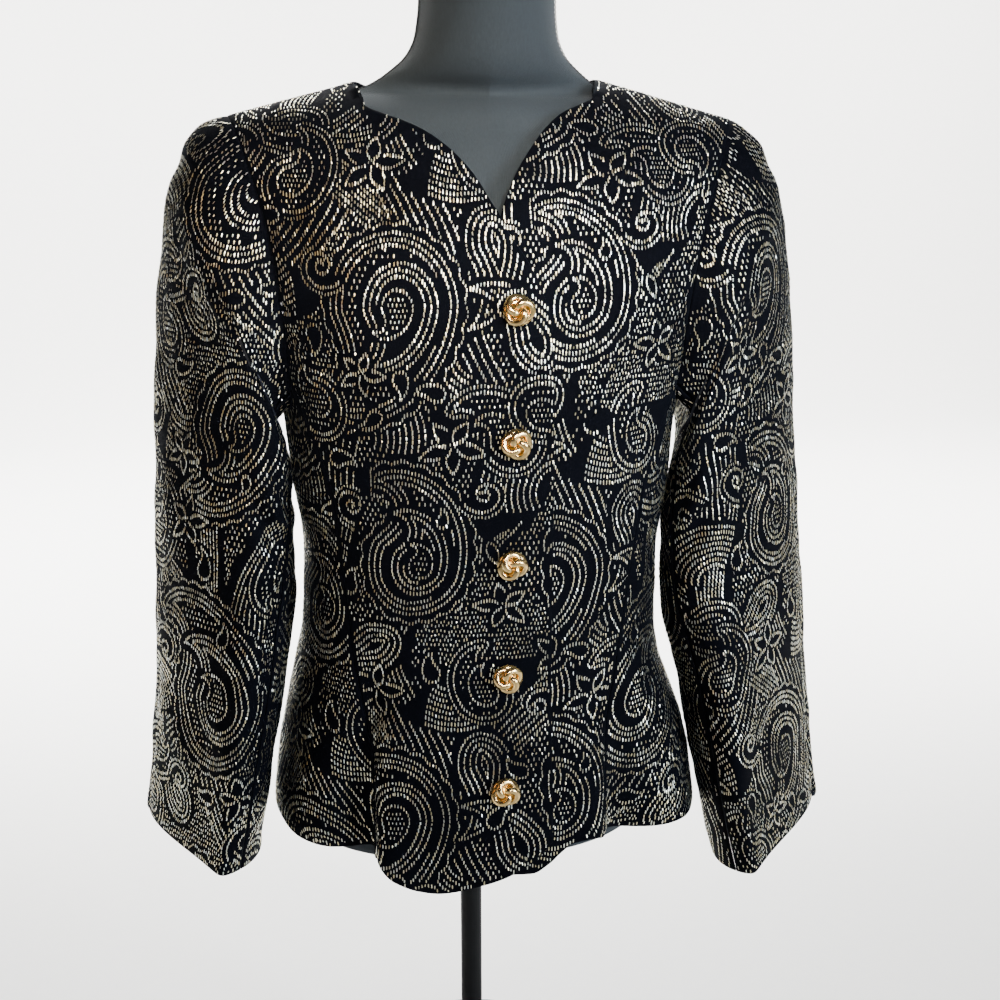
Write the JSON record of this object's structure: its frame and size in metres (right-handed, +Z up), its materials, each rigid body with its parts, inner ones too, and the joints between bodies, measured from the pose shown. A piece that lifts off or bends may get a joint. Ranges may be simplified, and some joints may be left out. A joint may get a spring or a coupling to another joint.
{
  "type": "velvet jacket on a dress form",
  "caption": "Fitted velvet peplum jacket with knot buttons and a foil paisley pattern, worn by a limbless dress form on a short counter stand.",
  "frame": {"origin": "centre of the stand's underside, on the surface it stands on", "axes": "+Z up, -Y towards the front of the jacket, +X towards the wearer's left"},
  "size_m": [0.5848, 0.276, 0.965],
  "materials": {
    "velvet": "matt pile with metallic foil dashes",
    "gold_knot": "polished",
    "form_jersey": "matt knit",
    "stand_black": "satin"
  },
  "bodies": {
    "root": {"front_right": "velvet", "front_left": "velvet", "side_front_right": "velvet", "side_front_left": "velvet", "back_right": "velvet", "back_left": "velvet", "side_back_right": "velvet", "side_back_left": "velvet", "sleeve_top_right": "velvet", "sleeve_under_right": "velvet", "sleeve_top_left": "velvet", "sleeve_under_left": "velvet", "button_1": "gold_knot", "button_2": "gold_knot", "button_3": "gold_knot", "button_4": "gold_knot", "button_5": "gold_knot", "form_body": "form_jersey", "stand_pole": "stand_black", "stand_base": "stand_black"}
  },
  "joints": []
}
